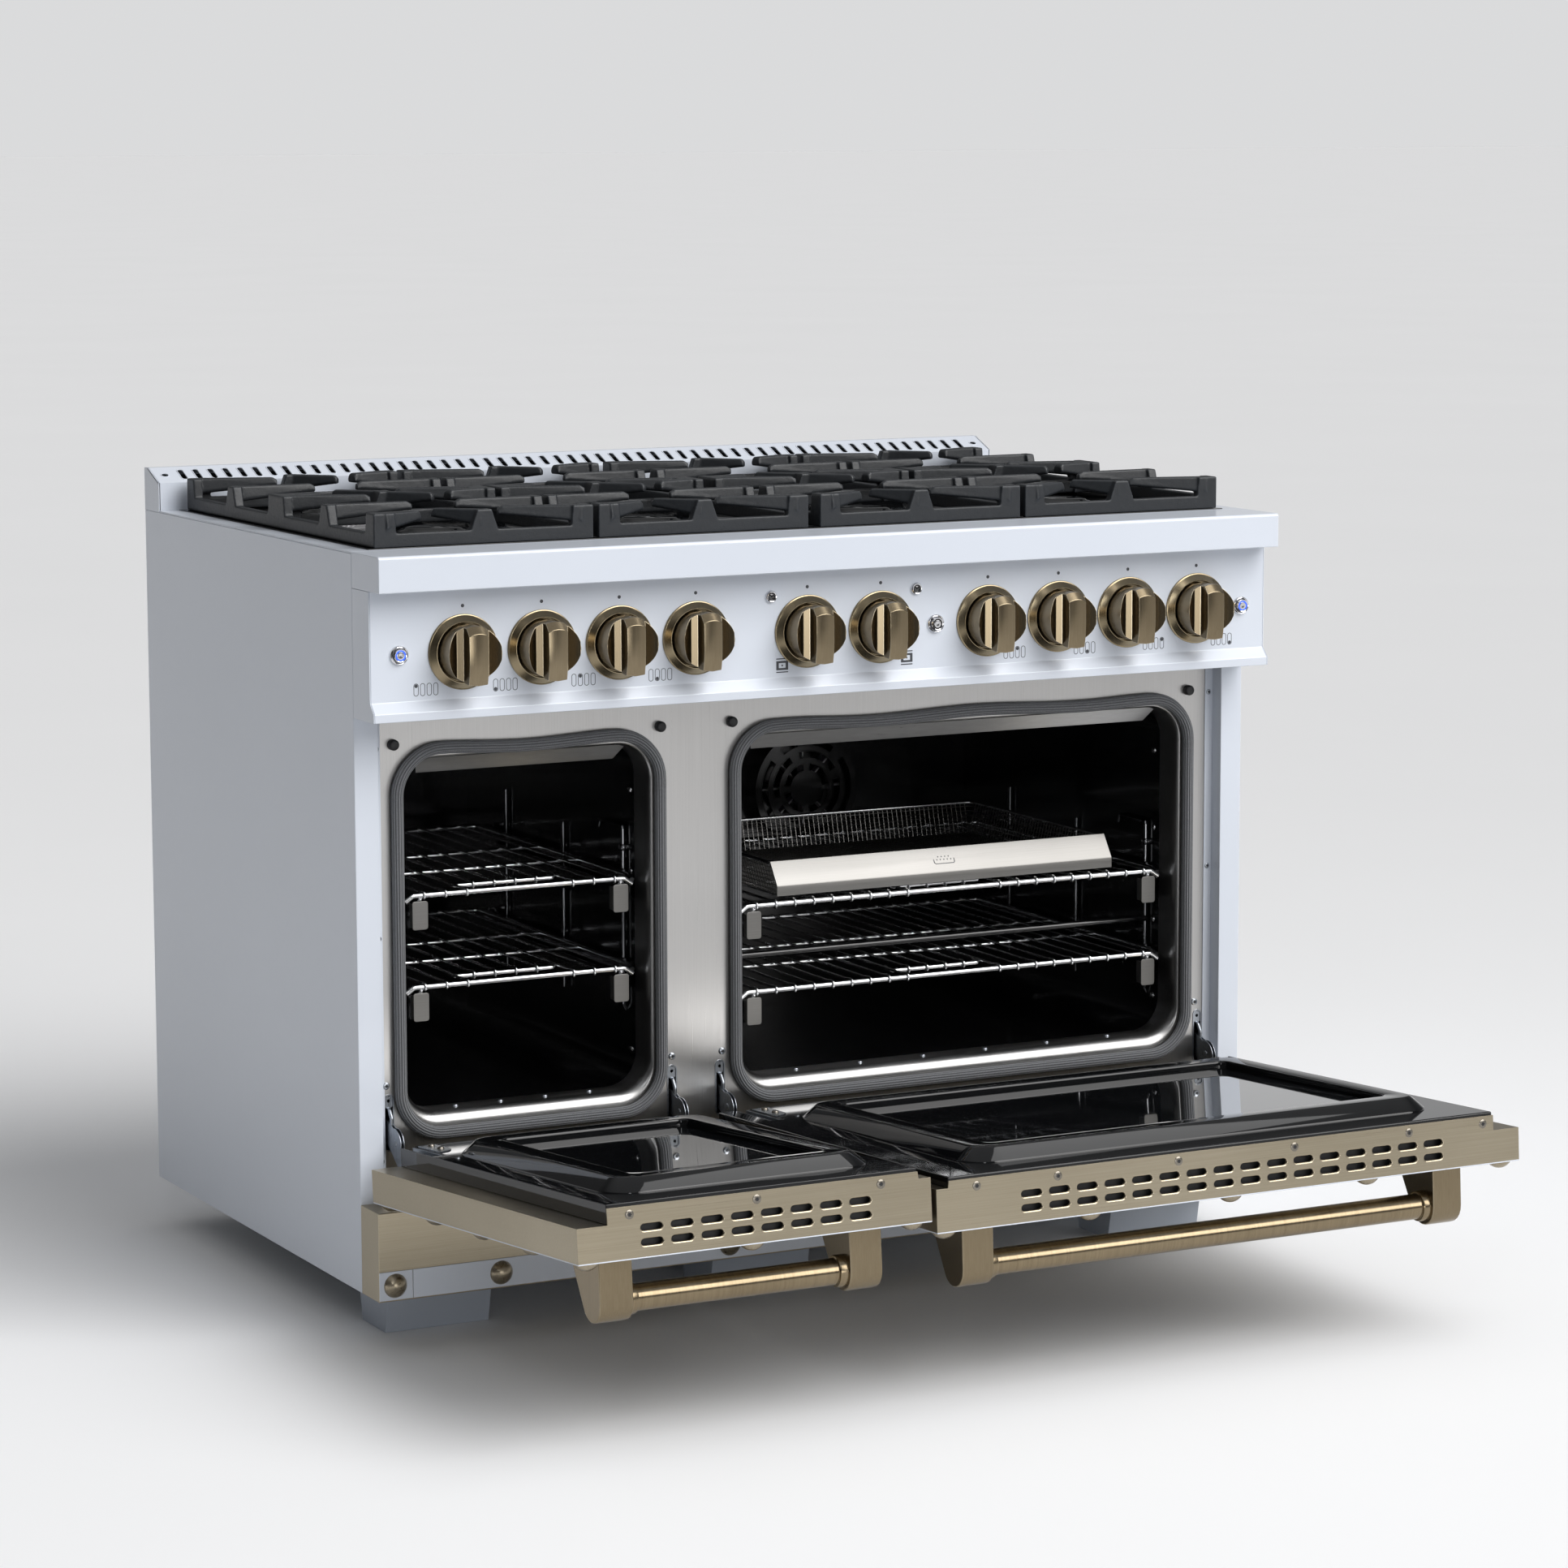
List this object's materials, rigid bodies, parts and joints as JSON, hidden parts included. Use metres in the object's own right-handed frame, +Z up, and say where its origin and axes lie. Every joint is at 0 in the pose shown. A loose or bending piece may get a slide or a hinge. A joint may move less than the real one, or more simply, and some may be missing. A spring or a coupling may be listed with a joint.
{
  "type": "freestanding_gas_range",
  "caption": "Freestanding 48-inch gas range in white and brushed antique brass, two drop-down ovens, cast-iron grates over the burners, racks, air-fry basket and turning knobs",
  "frame": {"origin": "on the floor, under the middle of the range's box with both doors lowered", "axes": "+Z up, +Y to the wall behind the range, +X to the right as seen from the front; the doors and knobs face -Y"},
  "size_m": [1.216, 1.3014, 0.986],
  "materials": {
    "enamel_white": "gloss powder-coated cool white",
    "enamel_black": "gloss black porcelain enamel",
    "oven_enamel": "black porcelain enamel, slightly speckled",
    "frame_steel": "fine vertical brushed stainless",
    "brass_sheet": "brushed champagne-brass plated sheet",
    "brass_turned": "brushed antique-brass plated castings and turnings",
    "cast_iron": "matt black enamelled casting",
    "chrome_wire": "bright plated wire",
    "chrome_trim": "bright plated trim",
    "burner_alloy": "as-cast and machined",
    "gasket_braid": "woven glass-fibre rope",
    "oven_glass": "dark tinted pane",
    "zinc_steel": "zinc plated steel",
    "galvanised": "galvanised sheet and pipe",
    "basket_steel": "perforated stainless",
    "leg_paint": "grey-blue painted sheet"
  },
  "bodies": {
    "root": {"side_panel_left": "enamel_white", "side_panel_right": "enamel_white", "back_panel": "enamel_white", "base_pan": "galvanised", "front_frame": "frame_steel", "cooktop_surround": "enamel_white", "burner_pan": "enamel_black", "front_fascia": "enamel_white", "control_panel": "enamel_white", "vent_trim": "enamel_white", "kick_panel": "brass_sheet", "kick_trim": "enamel_white", "legs": "leg_paint", "oven_liner_left": "oven_enamel", "oven_liner_right": "oven_enamel", "oven_gaskets": "gasket_braid", "rack_ladders": "chrome_wire", "burner_heads": "burner_alloy", "burner_caps": "enamel_black", "knob_bezels": "brass_turned", "panel_lamps": "chrome_trim", "hinge_arms": "zinc_steel", "frame_fasteners": "zinc_steel", "fan_housing": "oven_enamel", "gas_manifold": "galvanised"},
    "door_left": {"door_left_skin": "brass_sheet", "door_left_inner": "enamel_black", "door_left_glass": "oven_glass", "door_left_handle": "brass_turned", "door_left_strap": "enamel_white", "door_left_hardware": "zinc_steel"},
    "door_right": {"door_right_skin": "brass_sheet", "door_right_inner": "enamel_black", "door_right_glass": "oven_glass", "door_right_handle": "brass_turned", "door_right_strap": "enamel_white", "door_right_hardware": "zinc_steel"},
    "knob_burner_1": {"knob_burner_1": "brass_turned"},
    "knob_burner_2": {"knob_burner_2": "brass_turned"},
    "knob_burner_3": {"knob_burner_3": "brass_turned"},
    "knob_burner_4": {"knob_burner_4": "brass_turned"},
    "knob_oven_left": {"knob_oven_left": "brass_turned"},
    "knob_oven_right": {"knob_oven_right": "brass_turned"},
    "knob_burner_5": {"knob_burner_5": "brass_turned"},
    "knob_burner_6": {"knob_burner_6": "brass_turned"},
    "knob_burner_7": {"knob_burner_7": "brass_turned"},
    "knob_burner_8": {"knob_burner_8": "brass_turned"},
    "light_button_left": {"light_button_left": "chrome_trim"},
    "light_button_right": {"light_button_right": "chrome_trim"},
    "fan_button": {"fan_button": "chrome_trim"},
    "grate_1": {"grate_1": "cast_iron"},
    "grate_2": {"grate_2": "cast_iron"},
    "grate_3": {"grate_3": "cast_iron"},
    "grate_4": {"grate_4": "cast_iron"},
    "rack_left_upper": {"rack_left_upper": "chrome_wire"},
    "rack_left_lower": {"rack_left_lower": "chrome_wire"},
    "rack_right_upper": {"rack_right_upper": "chrome_wire"},
    "rack_right_lower": {"rack_right_lower": "chrome_wire"},
    "air_fry_basket": {"air_fry_basket": "basket_steel"},
    "fan_blade": {"fan_blade": "burner_alloy"}
  },
  "joints": [
    {"name": "door_left_hinge", "type": "hinge", "parent": "root", "child": "door_left", "pos_m": [-0.394, -0.099, 0.185], "axis": [1, 0, 0], "range_deg": [-85, 0]},
    {"name": "door_right_hinge", "type": "hinge", "parent": "root", "child": "door_right", "pos_m": [0.217, -0.099, 0.185], "axis": [1, 0, 0], "range_deg": [-86.5, 0]},
    {"name": "knob_burner_1_turn", "type": "hinge", "parent": "root", "child": "knob_burner_1", "pos_m": [-0.491, -0.105, 0.817], "axis": [0, -1, 0], "range_deg": [0, 210]},
    {"name": "knob_burner_2_turn", "type": "hinge", "parent": "root", "child": "knob_burner_2", "pos_m": [-0.391, -0.105, 0.817], "axis": [0, -1, 0], "range_deg": [0, 210]},
    {"name": "knob_burner_3_turn", "type": "hinge", "parent": "root", "child": "knob_burner_3", "pos_m": [-0.291, -0.105, 0.817], "axis": [0, -1, 0], "range_deg": [0, 210]},
    {"name": "knob_burner_4_turn", "type": "hinge", "parent": "root", "child": "knob_burner_4", "pos_m": [-0.191, -0.105, 0.817], "axis": [0, -1, 0], "range_deg": [0, 210]},
    {"name": "knob_oven_left_turn", "type": "hinge", "parent": "root", "child": "knob_oven_left", "pos_m": [-0.042, -0.105, 0.817], "axis": [0, -1, 0], "range_deg": [0, 300]},
    {"name": "knob_oven_right_turn", "type": "hinge", "parent": "root", "child": "knob_oven_right", "pos_m": [0.058, -0.105, 0.817], "axis": [0, -1, 0], "range_deg": [0, 300]},
    {"name": "knob_burner_5_turn", "type": "hinge", "parent": "root", "child": "knob_burner_5", "pos_m": [0.207, -0.105, 0.817], "axis": [0, -1, 0], "range_deg": [0, 210]},
    {"name": "knob_burner_6_turn", "type": "hinge", "parent": "root", "child": "knob_burner_6", "pos_m": [0.307, -0.105, 0.817], "axis": [0, -1, 0], "range_deg": [0, 210]},
    {"name": "knob_burner_7_turn", "type": "hinge", "parent": "root", "child": "knob_burner_7", "pos_m": [0.407, -0.105, 0.817], "axis": [0, -1, 0], "range_deg": [0, 210]},
    {"name": "knob_burner_8_turn", "type": "hinge", "parent": "root", "child": "knob_burner_8", "pos_m": [0.507, -0.105, 0.817], "axis": [0, -1, 0], "range_deg": [0, 210]},
    {"name": "light_button_left_press", "type": "slide", "parent": "root", "child": "light_button_left", "axis": [0, 1, 0], "range_m": [0, 0.0025], "stiffness_N_per_m": 400},
    {"name": "light_button_right_press", "type": "slide", "parent": "root", "child": "light_button_right", "axis": [0, 1, 0], "range_m": [0, 0.0025], "stiffness_N_per_m": 400},
    {"name": "fan_button_press", "type": "slide", "parent": "root", "child": "fan_button", "axis": [0, 1, 0], "range_m": [0, 0.0025], "stiffness_N_per_m": 400},
    {"name": "grate_1_lift", "type": "slide", "parent": "root", "child": "grate_1", "axis": [0, 0, 1], "range_m": [0, 0.12]},
    {"name": "grate_2_lift", "type": "slide", "parent": "root", "child": "grate_2", "axis": [0, 0, 1], "range_m": [0, 0.12]},
    {"name": "grate_3_lift", "type": "slide", "parent": "root", "child": "grate_3", "axis": [0, 0, 1], "range_m": [0, 0.12]},
    {"name": "grate_4_lift", "type": "slide", "parent": "root", "child": "grate_4", "axis": [0, 0, 1], "range_m": [0, 0.12]},
    {"name": "rack_left_upper_slide", "type": "slide", "parent": "root", "child": "rack_left_upper", "axis": [0, -1, 0], "range_m": [0, 0.3]},
    {"name": "rack_left_lower_slide", "type": "slide", "parent": "root", "child": "rack_left_lower", "axis": [0, -1, 0], "range_m": [0, 0.3]},
    {"name": "rack_right_upper_slide", "type": "slide", "parent": "root", "child": "rack_right_upper", "axis": [0, -1, 0], "range_m": [0, 0.3]},
    {"name": "rack_right_lower_slide", "type": "slide", "parent": "root", "child": "rack_right_lower", "axis": [0, -1, 0], "range_m": [0, 0.3]},
    {"name": "air_fry_basket_slide", "type": "slide", "parent": "rack_right_upper", "child": "air_fry_basket", "axis": [0, -1, 0], "range_m": [0, 0.2]},
    {"name": "fan_spin", "type": "hinge", "parent": "root", "child": "fan_blade", "pos_m": [0.27, 0.52, 0.53], "axis": [0, -1, 0], "continuous": true}
  ]
}
